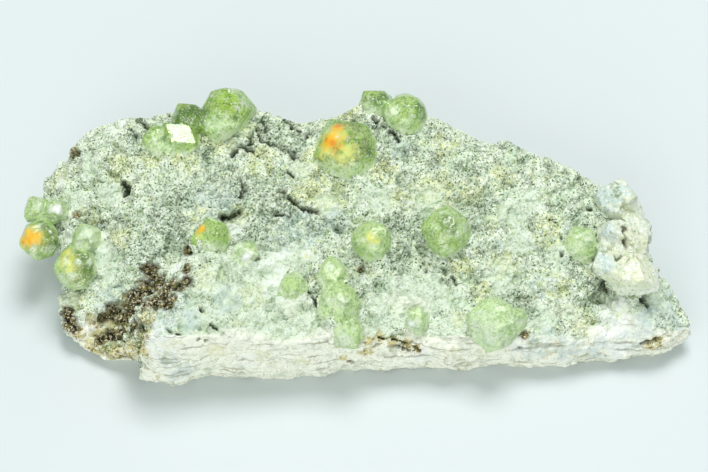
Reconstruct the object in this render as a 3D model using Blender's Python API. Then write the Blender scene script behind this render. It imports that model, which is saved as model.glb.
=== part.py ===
"""Demantoid garnet crystals on a slab of asbestos-serpentine matrix.

Lengths below are in millimetres and become metres where a mesh is made.
+X runs along the slab, +Y to its back, +Z up; it lies on its cleaved underside.
"""
import math
import random

import bmesh
import bpy
from mathutils import Euler, Matrix, Vector, noise

MM = 0.001
GAP = 0.3                 # clearance between a crystal and the rock round it
MIDDLE = (-0.06, -0.46, 0.0)   # middle of the specimen's outline, which becomes the origin

# The slab's top sheet: cells along its length and across it, about 1 mm each
CELLS_LONG = 52
CELLS_ACROSS = 22
SIDE_RINGS = 4            # rows of faces between the rim and the underside

# Rim of the top surface as x, y, height; each edge runs left to right or front to back
FRONT_RIM = [
    (-23.8, -8.5, 3.0), (-22.0, -9.5, 2.9), (-20.2, -10.0, 3.0), (-18.7, -10.9, 4.2),
    (-17.7, -12.1, 6.2), (-15.4, -12.5, 6.2), (-11.5, -12.0, 5.6), (-5.5, -11.9, 5.0),
    (-1.5, -11.4, 4.6), (5.5, -10.8, 4.5), (10.5, -10.8, 4.2), (16.0, -10.6, 3.5),
    (21.0, -10.0, 3.1), (25.6, -9.5, 3.0), (28.2, -8.2, 3.0),
]
BACK_RIM = [
    (-24.8, 8.4, 5.6), (-22.6, 9.7, 6.6), (-19.4, 9.9, 8.0), (-13.2, 10.3, 8.5),
    (-8.7, 10.3, 8.6), (-4.8, 9.3, 8.5), (-0.4, 10.0, 9.0), (2.6, 10.9, 9.0),
    (6.1, 9.4, 9.0), (10.0, 8.2, 8.5), (14.3, 6.5, 8.0), (17.8, 5.2, 7.5),
    (21.3, 3.2, 7.2), (24.2, 1.4, 6.4),
]
LEFT_RIM = [
    (-23.8, -8.5, 3.0), (-25.2, -6.6, 3.0), (-24.8, -4.4, 3.5), (-25.2, -1.6, 4.3),
    (-26.6, 1.4, 4.7), (-27.0, 4.0, 5.0), (-26.5, 6.4, 5.3), (-24.8, 8.4, 5.6),
]
RIGHT_RIM = [
    (28.2, -8.2, 3.0), (27.6, -6.4, 3.8), (26.6, -5.0, 4.5), (25.4, -3.6, 5.2),
    (24.7, -1.2, 5.8), (24.2, 1.4, 6.4),
]
CROWN = 0.7               # how much the middle of the top stands above its rim

# Broken layers that stand above the top: left, right, front and back edge, rise, and how
# far the right end takes to run out; the first is the ledge along the front
TERRACES = [
    (-18.2, 5.0, -15.0, -4.0, 1.1, 5.0), (-14.0, -9.0, -1.6, 3.4, 0.6, 1.0),
    (-1.4, 6.4, 4.4, 12.0, 0.5, 2.0), (12.0, 21.4, -0.4, 9.0, 0.4, 1.5),
    (-24.4, -17.6, 3.6, 11.0, 0.4, 1.5),
]
TERRACE_EDGE = 0.8

# The brown cavity beside the ledge, a trough along this line
CAVITY_LINE = [(-22.4, -9.6), (-19.6, -7.8), (-17.0, -6.0), (-14.5, -3.6)]
CAVITY_WIDTH, CAVITY_DEPTH = 1.5, 1.7

# Lumps and pits of the top: x, y, radius, height (a pit's is below zero)
RELIEF = [
    (-11.3, 1.6, 2.4, 0.4), (-22.0, 4.6, 2.0, 0.5), (-17.0, 2.6, 2.6, 0.5),
    (-21.2, -3.0, 2.0, 0.6), (-7.4, 8.0, 2.0, 0.5), (-2.2, 2.4, 2.6, 0.5),
    (7.4, 5.2, 2.6, 0.5), (14.3, 3.0, 2.4, 0.4), (17.8, -5.6, 2.4, 0.6),
    (10.9, -5.2, 2.0, 0.4), (23.6, -8.2, 1.8, 0.4), (2.4, 9.4, 1.8, 0.5),
    (-24.8, -7.2, 1.0, -0.8), (-24.6, 7.4, 0.9, -0.7), (-19.8, 3.0, 0.7, -0.9),
    (-20.1, -0.4, 0.7, -0.7), (-9.3, 3.2, 0.8, -0.9), (-5.6, 7.2, 1.2, -1.0),
    (-14.6, -0.6, 1.0, -0.5), (0.6, -5.4, 0.9, -0.7), (24.8, -7.0, 0.8, -0.9),
    (21.2, -6.2, 0.8, -0.8), (5.2, -2.6, 0.9, -0.6), (-7.6, -3.0, 0.8, -0.8),
]

# A garnet's faces are those of a rhombic dodecahedron, at this share of its radius. The
# trapezohedral faces between them are wide on a rounded crystal, narrow on a bevelled one
# and missing on a plain one
DODECAHEDRON = 0.93
ROUNDED, BEVELLED, PLAIN = 0.955, 1.01, 1.20

# Garnet crystals of each node: x, y, z of the centre, radius, turn about X, Y and Z in
# degrees, and how the edges are cut
GARNETS = {
    "garnet_back_left_cluster": [
        (-11.0, 9.6, 9.6, 2.10, -12, 6, 12, BEVELLED), (-11.8, 8.6, 9.1, 1.75, 20, 25, 10, ROUNDED),
        (-14.3, 8.9, 8.9, 1.60, 30, 8, 40, BEVELLED), (-15.1, 7.2, 8.1, 1.95, 52, -5, 55, PLAIN),
        (-16.9, 7.3, 8.1, 1.60, 5, 40, 20, ROUNDED),
    ],
    "garnet_orange_large": [(-0.65, 5.7, 8.7, 2.95, 22, 10, 30, ROUNDED)],
    "garnet_back_right_pair": [
        (4.3, 9.2, 9.4, 2.00, 15, 30, 12, ROUNDED), (1.9, 10.2, 9.2, 1.60, 35, 5, 50, BEVELLED),
    ],
    "garnet_left_edge_group": [
        (-26.9, -1.0, 5.3, 1.65, 20, 60, 10, BEVELLED), (-27.2, 1.9, 5.4, 1.25, 10, 15, 35, BEVELLED),
        (-25.6, 1.5, 5.95, 1.00, 52, -5, 30, PLAIN),
    ],
    "garnet_left_lower_pair": [
        (-23.6, -3.7, 5.0, 1.90, 8, 28, 18, ROUNDED), (-22.7, -1.5, 6.0, 1.30, 50, 0, 30, BEVELLED),
    ],
    "garnet_small_spotted": [(-12.05, -2.65, 7.75, 1.62, 25, 12, 15, BEVELLED)],
    "garnet_bright_face": [(-9.2, -4.5, 7.8, 1.25, 52, -5, 70, PLAIN)],
    "garnet_centre": [(1.4, -3.1, 8.0, 1.75, 10, 35, 25, ROUNDED)],
    "garnet_right_of_centre": [(7.7, -2.1, 8.0, 2.05, 30, 18, 5, ROUNDED)],
    "garnet_front_buried": [(-5.1, -7.2, 6.95, 1.38, 18, 8, 40, BEVELLED)],
    "garnet_front_cluster": [
        (-1.95, -6.1, 7.1, 1.50, 50, 5, 10, BEVELLED), (-1.35, -8.7, 6.45, 1.92, 30, 5, 35, BEVELLED),
        (-0.6, -10.75, 5.5, 1.40, 5, 30, 20, BEVELLED),
    ],
    "garnet_front_small": [(5.2, -9.4, 5.3, 0.95, 52, -5, 20, PLAIN)],
    "garnet_front_right": [
        (11.5, -9.4, 4.9, 2.25, 12, 38, 15, ROUNDED), (13.4, -9.1, 5.0, 1.00, 30, 10, 25, PLAIN),
    ],
    "garnet_right_patch": [(19.1, -2.4, 6.45, 1.45, 25, 25, 35, BEVELLED)],
}
FACE_WANDER = 0.035       # how unequal a crystal's faces are

# Lumps of the pale crust: x, y, z of the centre and its three radii
CRUST_LUMPS = [
    (22.4, 1.6, 7.3, 2.1, 1.9, 1.8), (21.9, -2.3, 7.2, 1.7, 1.6, 1.5),
    (23.6, -1.5, 6.6, 1.3, 2.9, 1.4), (21.5, -4.6, 6.9, 1.7, 1.5, 1.4),
    (23.4, -5.5, 6.4, 2.2, 1.8, 1.5),
]

# Each material: name, colour, roughness
ROCK = ("asbestos serpentine matrix", (0.58, 0.66, 0.54), 0.9)
GARNET = ("demantoid garnet", (0.30, 0.50, 0.14), 0.15)
CRUST = ("pale garnet crust", (0.70, 0.76, 0.66), 0.5)


def clear_scene():
    for scene_object in list(bpy.data.objects):
        bpy.data.objects.remove(scene_object, do_unlink=True)


def make_material(name, colour, roughness):
    material = bpy.data.materials.new(name)
    material.use_nodes = True
    shader = material.node_tree.nodes["Principled BSDF"]
    shader.inputs["Base Color"].default_value = (*colour, 1.0)
    shader.inputs["Roughness"].default_value = roughness
    shader.inputs["Metallic"].default_value = 0.0
    return material


def add_object(name, shape, material=None):
    bmesh.ops.translate(shape, vec=-Vector(MIDDLE), verts=shape.verts)
    bmesh.ops.scale(shape, vec=(MM, MM, MM), verts=shape.verts)
    mesh = bpy.data.meshes.new(name)
    shape.to_mesh(mesh)
    shape.free()
    made = bpy.data.objects.new(name, mesh)
    bpy.context.scene.collection.objects.link(made)
    if material:
        mesh.materials.append(material)
    return made


def hide_cutter(cutter):
    cutter.hide_render = True
    cutter.display_type = "WIRE"


def add_boolean(target, other, operation):
    step = target.modifiers.new(operation.lower() + " " + other.name, "BOOLEAN")
    step.operation = operation
    step.solver = "EXACT"
    step.object = other


# Point at t, from 0 to 1, on a smooth curve through the points
def on_curve(points, t):
    place = t * (len(points) - 1)
    index = min(int(place), len(points) - 2)
    part = place - index
    start, end = Vector(points[index]), Vector(points[index + 1])
    before = Vector(points[index - 1]) if index > 0 else start
    after = Vector(points[index + 2]) if index + 2 < len(points) else end
    leave, arrive = (end - before) * 0.5, (after - start) * 0.5
    square, cube = part * part, part * part * part
    return (start * (2 * cube - 3 * square + 1) + leave * (cube - 2 * square + part)
            + end * (3 * square - 2 * cube) + arrive * (cube - square))


def smooth_step(low, high, value):
    share = min(max((value - low) / (high - low), 0.0), 1.0)
    return share * share * (3 - 2 * share)


# Distance in plan from a point to the nearest stretch of a line
def line_distance(x, y, line):
    point = Vector((x, y))
    nearest = math.inf
    for start, end in zip(line, line[1:]):
        start, end = Vector(start), Vector(end)
        run = end - start
        share = min(max((point - start).dot(run) / run.length_squared, 0.0), 1.0)
        nearest = min(nearest, (start + run * share - point).length)
    return nearest


# Point of the top sheet at u along the slab and v across it, between the four rims
def sheet_point(u, v):
    front, back = on_curve(FRONT_RIM, u), on_curve(BACK_RIM, u)
    left, right = on_curve(LEFT_RIM, v), on_curve(RIGHT_RIM, v)
    across = front.lerp(back, v)
    along = left.lerp(right, u)
    corners = (Vector(FRONT_RIM[0]).lerp(Vector(FRONT_RIM[-1]), u)
               .lerp(Vector(BACK_RIM[0]).lerp(Vector(BACK_RIM[-1]), u), v))
    return across + along - corners


def relief_height(x, y):
    height = 0.0
    for lump_x, lump_y, radius, rise in RELIEF:
        distance = math.hypot(x - lump_x, y - lump_y)
        height += rise * math.exp(-(distance / radius) ** 2)
    for left, right, front, back, rise, run_out in TERRACES:
        inside = smooth_step(left, left + TERRACE_EDGE, x)
        inside *= 1 - smooth_step(right - run_out, right, x)
        inside *= smooth_step(front, front + TERRACE_EDGE, y)
        inside *= 1 - smooth_step(back - TERRACE_EDGE, back, y)
        height += rise * inside
    height -= CAVITY_DEPTH * math.exp(-(line_distance(x, y, CAVITY_LINE) / CAVITY_WIDTH) ** 4)
    broad = noise.noise(Vector((x, y, 0.0)) / 4.5)
    fine = noise.noise(Vector((x, y, 9.0)) / 1.9)
    return height + 0.8 * broad + 0.6 * fine


# How far a point of the side wall stands out from the rim above it; depth is 0 at the rim
def wall_offset(outward, depth, place):
    undercut = 0.3 + 2.0 * max(0.0, -outward.x) ** 2 + 0.9 * max(0.0, outward.y) ** 2
    undercut += 0.8 * max(0.0, outward.x) ** 2
    bulge = 0.55 * math.sin(math.pi * depth)
    rough = 0.7 * noise.noise(place / 2.2) * min(1.0, 2 * depth)
    layers = 0.5 * noise.noise(Vector((place.x / 7, place.y / 7, place.z / 0.9)))
    return bulge + rough + layers * min(1.0, 2 * depth) - undercut * depth ** 1.6


# Horizontal direction away from the sheet at each vert of its rim
def rim_outwards(rim):
    outwards = {}
    for edge in rim:
        run = edge.verts[1].co - edge.verts[0].co
        side = Vector((run.y, -run.x, 0.0)).normalized()
        if side.dot(edge.verts[0].co - edge.link_faces[0].calc_center_median()) < 0:
            side.negate()
        for vert in edge.verts:
            outwards[vert] = outwards.get(vert, Vector()) + side
    return {vert: outward.normalized() for vert, outward in outwards.items()}


# Draws the wall down from the rim in rings and closes the flat underside
def add_walls(shape):
    ring = [edge for edge in shape.edges if edge.is_boundary]
    outwards = rim_outwards(ring)
    rim_of = {vert: (vert.co.copy(), outward) for vert, outward in outwards.items()}
    for row in range(1, SIDE_RINGS + 1):
        depth = row / SIDE_RINGS
        made = bmesh.ops.extrude_edge_only(shape, edges=ring)["geom"]
        ring = [item for item in made if isinstance(item, bmesh.types.BMEdge) and item.is_boundary]
        lower = {}
        for vert in [item for item in made if isinstance(item, bmesh.types.BMVert)]:
            above = min(rim_of, key=lambda old: (old.co - vert.co).length_squared)
            lower[vert] = rim_of[above]
        for vert, (start, outward) in lower.items():
            level = Vector((start.x, start.y, start.z * (1 - depth)))
            vert.co = level + outward * wall_offset(outward, depth, level)
        rim_of = lower
    bmesh.ops.edgeloop_fill(shape, edges=ring)


def make_rock(material):
    shape = bmesh.new()
    bmesh.ops.create_grid(shape, x_segments=CELLS_LONG, y_segments=CELLS_ACROSS, size=1.0)
    for vert in shape.verts:
        u, v = (vert.co.x + 1) / 2, (vert.co.y + 1) / 2
        place = sheet_point(u, v)
        inside = 1 - max(abs(2 * u - 1), abs(2 * v - 1)) ** 6
        place.z += CROWN * inside + relief_height(place.x, place.y)
        vert.co = place
    add_walls(shape)
    bmesh.ops.triangulate(shape, faces=shape.faces)
    bmesh.ops.recalc_face_normals(shape, faces=shape.faces)
    return add_object("matrix", shape, material)


# Normals of the twelve dodecahedron faces, then of the twenty-four trapezohedral ones, each
# with its distance from the centre
def garnet_faces(trapezohedron):
    signs = (-1, 1)
    for still in range(3):
        for first in signs:
            for second in signs:
                normal = [first, first, first]
                normal[still] = 0
                normal[(still + 2) % 3] = second
                yield Vector(normal).normalized(), DODECAHEDRON
    for long_axis in range(3):
        for first in signs:
            for second in signs:
                for third in signs:
                    normal = [0, 0, 0]
                    normal[long_axis] = 2 * first
                    normal[(long_axis + 1) % 3] = second
                    normal[(long_axis + 2) % 3] = third
                    yield Vector(normal).normalized(), trapezohedron


# One garnet crystal, cut plane by plane from a block, and grown by margin on every face
def make_garnet(name, crystal, seed, margin=0.0, material=None):
    x, y, z, radius, turn_x, turn_y, turn_z, trapezohedron = crystal
    chance = random.Random(seed)
    shape = bmesh.new()
    bmesh.ops.create_cube(shape, size=4 * radius)
    for normal, share in garnet_faces(trapezohedron):
        reach = radius * share * (1 + chance.uniform(-FACE_WANDER, FACE_WANDER)) + margin
        cut = bmesh.ops.bisect_plane(
            shape, geom=shape.verts[:] + shape.edges[:] + shape.faces[:], dist=1e-5,
            plane_co=normal * reach, plane_no=normal, clear_outer=True)
        edges = [item for item in cut["geom_cut"] if isinstance(item, bmesh.types.BMEdge)]
        if len(edges) > 2:
            bmesh.ops.edgeloop_fill(shape, edges=edges)
    bmesh.ops.recalc_face_normals(shape, faces=shape.faces)
    turn = Euler([math.radians(angle) for angle in (turn_x, turn_y, turn_z)]).to_matrix().to_4x4()
    bmesh.ops.transform(shape, matrix=Matrix.Translation((x, y, z)) @ turn, verts=shape.verts)
    return add_object(name, shape, material)


def make_lump(name, lump, seed, margin=0.0, material=None):
    x, y, z, *radii = lump
    shape = bmesh.new()
    bmesh.ops.create_icosphere(shape, subdivisions=2, radius=1.0)
    for vert in shape.verts:
        rough = 1 + 0.22 * noise.noise(vert.co * 1.7 + Vector((seed, 0.0, 0.0)))
        vert.co = Vector(part * rough * (radius + margin) for part, radius in zip(vert.co, radii))
    bmesh.ops.translate(shape, vec=(x, y, z), verts=shape.verts)
    return add_object(name, shape, material)


# Builds a node from its first shape and the others joined to it, and the rock's cutters for it
def make_cluster(name, shapes, maker, seed, material):
    cutters = []
    body = None
    for index, shape in enumerate(shapes):
        shape_seed = seed + index
        if body is None:
            body = maker(name, shape, shape_seed, 0.0, material)
        else:
            joined = maker(f"{name}_joined_{index}", shape, shape_seed)
            hide_cutter(joined)
            add_boolean(body, joined, "UNION")
        cutter = maker(f"{name}_socket_{index}", shape, shape_seed, GAP)
        hide_cutter(cutter)
        cutters.append(cutter)
    return body, cutters


def main():
    clear_scene()
    rock = make_rock(make_material(*ROCK))
    garnet_material = make_material(*GARNET)
    crust, crust_cutters = make_cluster(
        "pale_crust", CRUST_LUMPS, make_lump, 500, make_material(*CRUST))
    rock_cutters = list(crust_cutters)
    for number, (name, crystals) in enumerate(GARNETS.items()):
        body, cutters = make_cluster(
            name, crystals, make_garnet, 10 * number, garnet_material)
        rock_cutters += cutters
        if name == "garnet_right_patch":
            for cutter in cutters:
                add_boolean(crust, cutter, "DIFFERENCE")
    for cutter in rock_cutters:
        add_boolean(rock, cutter, "DIFFERENCE")


main()
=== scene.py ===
import math

import bmesh
import bpy
import numpy as np
from mathutils import Matrix, Vector, noise
from mathutils.bvhtree import BVHTree


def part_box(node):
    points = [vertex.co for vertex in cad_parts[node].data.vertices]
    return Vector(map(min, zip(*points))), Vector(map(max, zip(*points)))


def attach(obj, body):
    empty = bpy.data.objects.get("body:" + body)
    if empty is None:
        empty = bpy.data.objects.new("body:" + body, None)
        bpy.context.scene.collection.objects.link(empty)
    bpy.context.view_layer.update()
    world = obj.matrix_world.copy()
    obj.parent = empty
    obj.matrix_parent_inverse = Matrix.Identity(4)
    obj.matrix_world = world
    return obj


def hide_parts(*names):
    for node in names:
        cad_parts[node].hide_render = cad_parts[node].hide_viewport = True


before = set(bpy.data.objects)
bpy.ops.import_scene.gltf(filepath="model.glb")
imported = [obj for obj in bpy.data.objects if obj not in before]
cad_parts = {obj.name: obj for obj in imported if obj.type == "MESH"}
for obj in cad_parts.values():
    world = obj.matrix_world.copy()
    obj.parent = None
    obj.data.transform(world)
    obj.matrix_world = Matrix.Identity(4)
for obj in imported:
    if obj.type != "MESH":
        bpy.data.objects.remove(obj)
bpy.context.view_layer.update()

mm = 0.001
weldDistance = 1e-7
garnetNodes = sorted(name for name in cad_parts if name.startswith("garnet"))


# Camera: the photograph looks down on the slab through a long lens
cameraSet = {
    "elevation": 54.0,         # degrees above the table
    "lens": 135.0,             # mm
    "filmWidth": 36.0,         # mm
    "clipStart": 0.01,         # m
    "pixelsPerMm": 11.5,       # scale of the photograph at the slab
    "pictureSize": (708, 472),
    "originPixel": (354.3, 270.7),   # where the frame's origin falls in the photograph
}


# The camera's place, its up axis, the axis back toward it and its focal length in pixels
def viewAxes():
    tilt = math.radians(cameraSet["elevation"])
    up = Vector((0, math.sin(tilt), math.cos(tilt)))
    toward = Vector((0, -math.cos(tilt), math.sin(tilt)))
    focal = cameraSet["lens"] / cameraSet["filmWidth"] * cameraSet["pictureSize"][0]
    scale = mm / cameraSet["pixelsPerMm"]
    right = cameraSet["pictureSize"][0] / 2 - cameraSet["originPixel"][0]
    rise = cameraSet["originPixel"][1] - cameraSet["pictureSize"][1] / 2
    aim = Vector((right * scale, 0, 0)) + up * rise * scale
    return aim + toward * focal * scale, up, toward, focal


def makeCamera():
    data = bpy.data.cameras.new("photographCamera")
    data.lens = cameraSet["lens"]
    data.clip_start = cameraSet["clipStart"]
    camera = bpy.data.objects.new("photographCamera", data)
    camera.location = viewAxes()[0]
    camera.rotation_euler = (math.radians(90 - cameraSet["elevation"]), 0, 0)
    bpy.context.scene.collection.objects.link(camera)
    bpy.context.scene.camera = camera


# Material helpers: a hex colour as linear red, green, blue and alpha
def hexToLinear(text):
    channels = [int(text[i:i + 2], 16) / 255 for i in (1, 3, 5)]
    return [c / 12.92 if c <= 0.04045 else ((c + 0.055) / 1.055) ** 2.4 for c in channels] + [1.0]


# Adds a node; values sets its sockets, links joins them to other nodes' outputs
def addNode(tree, kind, values=None, links=None, **settings):
    node = tree.nodes.new(kind)
    for key, value in settings.items():
        setattr(node, key, value)
    for key, value in (values or {}).items():
        node.inputs[key].default_value = value
    for key, source in (links or {}).items():
        tree.links.new(source, node.inputs[key])
    return node


def newMaterial(name):
    material = bpy.data.materials.new(name)
    material.use_nodes = True
    material.node_tree.nodes.clear()
    return material, material.node_tree


def objectPlace(tree):
    return addNode(tree, "ShaderNodeTexCoord").outputs["Object"]


# A mask that storeMask kept on the mesh
def readMask(tree, name):
    return addNode(tree, "ShaderNodeAttribute", attribute_name=name).outputs["Fac"]


# The product of two outputs
def product(tree, first, second):
    return addNode(tree, "ShaderNodeMath", links={0: first, 1: second}, operation="MULTIPLY").outputs[0]


# Lays a colour over another, which is a hex text at the bottom. The Mix node's colour sockets share their
# names with its other sockets, so they go by number
def mixOver(tree, under, text, amount):
    values, links = {7: hexToLinear(text)}, {0: amount}
    if isinstance(under, str):
        values[6] = hexToLinear(under)
    else:
        links[6] = under
    return addNode(tree, "ShaderNodeMix", values, links, data_type="RGBA").outputs[2]


# Lays colours over one another. A layer is its colour, the mask it shows in ("" for everywhere), its share,
# and the size in mm, the threshold and the softness of its grains (size 0 for an even coat). The shift, in m,
# keeps the grains of the layers apart
def layeredColour(tree, base, layers, shift=0.013):
    place = objectPlace(tree)
    colour = base
    for index, (text, maskName, share, size, threshold, softness) in enumerate(layers):
        amount = None
        if size:
            moved = addNode(tree, "ShaderNodeVectorMath", {1: [shift * index] * 3}, {0: place},
                            operation="ADD").outputs[0]
            grain = addNode(tree, "ShaderNodeTexNoise",
                            {"Scale": 1 / (size * mm), "Detail": 2.0, "Roughness": 0.65},
                            {"Vector": moved}).outputs["Fac"]
            amount = addNode(tree, "ShaderNodeMapRange",
                             {"From Min": threshold, "From Max": threshold + softness, "To Max": share},
                             {"Value": grain}).outputs[0]
        if maskName:
            mask = readMask(tree, maskName)
            values, links = ({}, {0: mask, 1: amount}) if size else ({1: share}, {0: mask})
            amount = addNode(tree, "ShaderNodeMath", values, links, operation="MULTIPLY").outputs[0]
        colour = mixOver(tree, colour, text, amount)
    return colour


# Thin gaps between grains of a size in mm: 1 in a gap and 0 on a grain. Noise of a smaller size bends them
def grainGaps(tree, place, size, width, smaller=0.8):
    bend = addNode(tree, "ShaderNodeTexNoise", {"Scale": 1 / (smaller * size * mm), "Detail": 2.0},
                   {"Vector": place}).outputs["Color"]
    shift = addNode(tree, "ShaderNodeVectorMath", {1: [0.5] * 3}, {0: bend}, operation="SUBTRACT").outputs[0]
    bent = addNode(tree, "ShaderNodeVectorMath", {1: [size * mm] * 3}, {0: shift, 2: place},
                   operation="MULTIPLY_ADD").outputs[0]
    edge = addNode(tree, "ShaderNodeTexVoronoi", {"Scale": 1 / (size * mm)}, {"Vector": bent},
                   feature="DISTANCE_TO_EDGE").outputs["Distance"]
    return addNode(tree, "ShaderNodeMapRange", {"From Max": width, "To Min": 1.0, "To Max": 0.0},
                   {"Value": edge}).outputs[0]


# Noise of a size in mm: 0 below the threshold and the share given from the full value on
def noiseAbove(tree, place, size, threshold, full, share):
    cloud = addNode(tree, "ShaderNodeTexNoise", {"Scale": 1 / (size * mm), "Detail": 3.0}, {"Vector": place})
    return addNode(tree, "ShaderNodeMapRange", {"From Min": threshold, "From Max": full, "To Max": share},
                   {"Value": cloud.outputs["Fac"]}).outputs[0]


# A fine relief of a size in mm, as a normal for the shader
def fineBump(tree, size, strength, height):
    place = objectPlace(tree)
    fine = addNode(tree, "ShaderNodeTexNoise", {"Scale": 1 / (size * mm), "Detail": 3.0}, {"Vector": place})
    return addNode(tree, "ShaderNodeBump", {"Strength": strength, "Distance": height * mm},
                   {"Height": fine.outputs["Fac"]}).outputs["Normal"]


# Mesh helpers: places and sizes are in mm once they are read from a mesh
def mergedCopy(nodeName):
    shape = bmesh.new()
    shape.from_mesh(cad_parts[nodeName].data)
    bmesh.ops.remove_doubles(shape, verts=shape.verts, dist=weldDistance)
    return shape


def addPiece(name, shape):
    mesh = bpy.data.meshes.new(name)
    shape.to_mesh(mesh)
    shape.free()
    piece = bpy.data.objects.new(name, mesh)
    bpy.context.scene.collection.objects.link(piece)
    return piece


# Remeshes a piece into even small squares of a size in mm and evens out their steps
def refine(piece, voxel, rounds, factor=0.5):
    remesh = piece.modifiers.new("fine mesh", "REMESH")
    remesh.mode = "VOXEL"
    remesh.voxel_size = voxel * mm
    smooth = piece.modifiers.new("even out", "SMOOTH")
    smooth.factor = factor
    smooth.iterations = rounds
    shown = piece.evaluated_get(bpy.context.evaluated_depsgraph_get())
    mesh = bpy.data.meshes.new_from_object(shown)
    piece.modifiers.clear()
    piece.data = mesh
    mesh.name = piece.name


def readVerts(mesh):
    count = len(mesh.vertices)
    places, normals = np.empty(count * 3), np.empty(count * 3)
    mesh.vertices.foreach_get("co", places)
    mesh.vertex_normals.foreach_get("vector", normals)
    return places.reshape(-1, 3) / mm, normals.reshape(-1, 3)


def writeVerts(mesh, places):
    mesh.vertices.foreach_set("co", (places * mm).ravel())
    mesh.update()


# Keeps a value from 0 to 1 for every vertex, for the material to read
def storeMask(mesh, name, values):
    layer = mesh.attributes.new(name, "FLOAT", "POINT")
    layer.data.foreach_set("value", np.clip(values, 0, 1).astype(np.float32))


def smoothStep(low, high, value):
    share = np.clip((value - low) / (high - low), 0, 1)
    return share * share * (3 - 2 * share)


# Noise of a wavelength in mm at every place, from about -1 to 1. The offset picks another part of the noise
def noiseAt(places, size, offset=0.0, stretch=(1, 1, 1)):
    scaled = places / (size * np.array(stretch)) + offset
    return np.array([noise.noise(place) for place in scaled.tolist()])


# Grains of a size in mm: 1 at the middle of each grain and 0 in the gaps between them
def grainsAt(places, size, offset=0.0, gap=0.35):
    scaled = places / size + offset
    gaps = np.array([noise.voronoi(place)[0][:2] for place in scaled.tolist()])
    return smoothStep(0.0, gap, gaps[:, 1] - gaps[:, 0])


# Distance in mm from each place to the flat chip it belongs to, for chips of a size in mm. A chip is the part
# of the surface in one cell of the noise, told apart by its middle. Strongly bent chips move less
def chipsAt(places, normals, size, limit=0.4, bent=0.3):
    scaled = places / size
    middles = [tuple(round(value, 3) for value in noise.voronoi(place)[1][0]) for place in scaled.tolist()]
    numbers = {}
    cells = np.array([numbers.setdefault(middle, len(numbers)) for middle in middles])
    count = np.bincount(cells)
    centres = np.stack([np.bincount(cells, places[:, axis]) / count for axis in range(3)], axis=1)
    facing = np.stack([np.bincount(cells, normals[:, axis]) / count for axis in range(3)], axis=1)
    facing /= np.maximum(np.linalg.norm(facing, axis=1), bent)[:, None]
    return np.clip(((centres[cells] - places) * facing[cells]).sum(axis=1), -limit, limit)


# The point of the solids' surface, in mm, that a pixel of the photograph shows
def surfacePoint(trees, pixel):
    place, up, toward, focal = viewAxes()
    width, height = cameraSet["pictureSize"]
    aim = Vector((pixel[0] - width / 2, 0, 0)) - up * (pixel[1] - height / 2) - toward * focal
    hits = [tree.ray_cast(place, aim.normalized()) for tree in trees]
    hits = [hit for hit in hits if hit[0] is not None]
    if not hits:
        return None
    return min(hits, key=lambda hit: hit[3])[0] / mm


# Masks painted from the photograph's side
maskSet = {
    "fineEdge": (2.7, 0.6),    # how much finer a spot's second raggedness is, and its share
    "spotEnd": 1.15,           # where a spot has faded out, in radii
    "crackWander": ((0.4, 0.9), (1.3, 0.5)),    # size in mm and share of two bends
    "crackWidth": 0.75,        # share of its half width at which a crack has faded out
    "crackFade": (0.2, 1.0),
}


# Share of each place that lies in spots, given as pixel x, pixel y and radius in mm. They are solid up to
# the share inner of their radius, with ragged edges of a size in mm
def spotMask(places, trees, spots, ragged=0.5, size=0.9, inner=0.65):
    finer, share = maskSet["fineEdge"]
    edge = noiseAt(places, size, 40.0) * ragged + noiseAt(places, size / finer, 50.0) * ragged * share
    mask = np.zeros(len(places))
    for pixelX, pixelY, radius in spots:
        middle = surfacePoint(trees, (pixelX, pixelY))
        if middle is None:
            continue
        reach = np.linalg.norm(places - np.array(middle), axis=1) / radius
        mask = np.maximum(mask, 1 - smoothStep(inner, maskSet["spotEnd"], reach + edge))
    return mask


# Share of each place that lies on cracks, given as lines of pixels and a half width in mm
def crackMask(places, trees, cracks):
    mask = np.zeros(len(places))
    (fineSize, fineShare), (wideSize, wideShare) = maskSet["crackWander"]
    wander = noiseAt(places, fineSize, 80.0) * fineShare + noiseAt(places, wideSize, 85.0) * wideShare
    for width, *pixels in cracks:
        points = [surfacePoint(trees, pixel) for pixel in pixels]
        points = [np.array(point) for point in points if point is not None]
        for start, end in zip(points, points[1:]):
            along = end - start
            share = np.clip((places - start) @ along / max(along @ along, 1e-6), 0, 1)
            away = np.linalg.norm(places - start - share[:, None] * along, axis=1)
            reach = away / (maskSet["crackWidth"] * width)
            mask = np.maximum(mask, 1 - smoothStep(*maskSet["crackFade"], reach + wander))
    return mask


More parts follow.
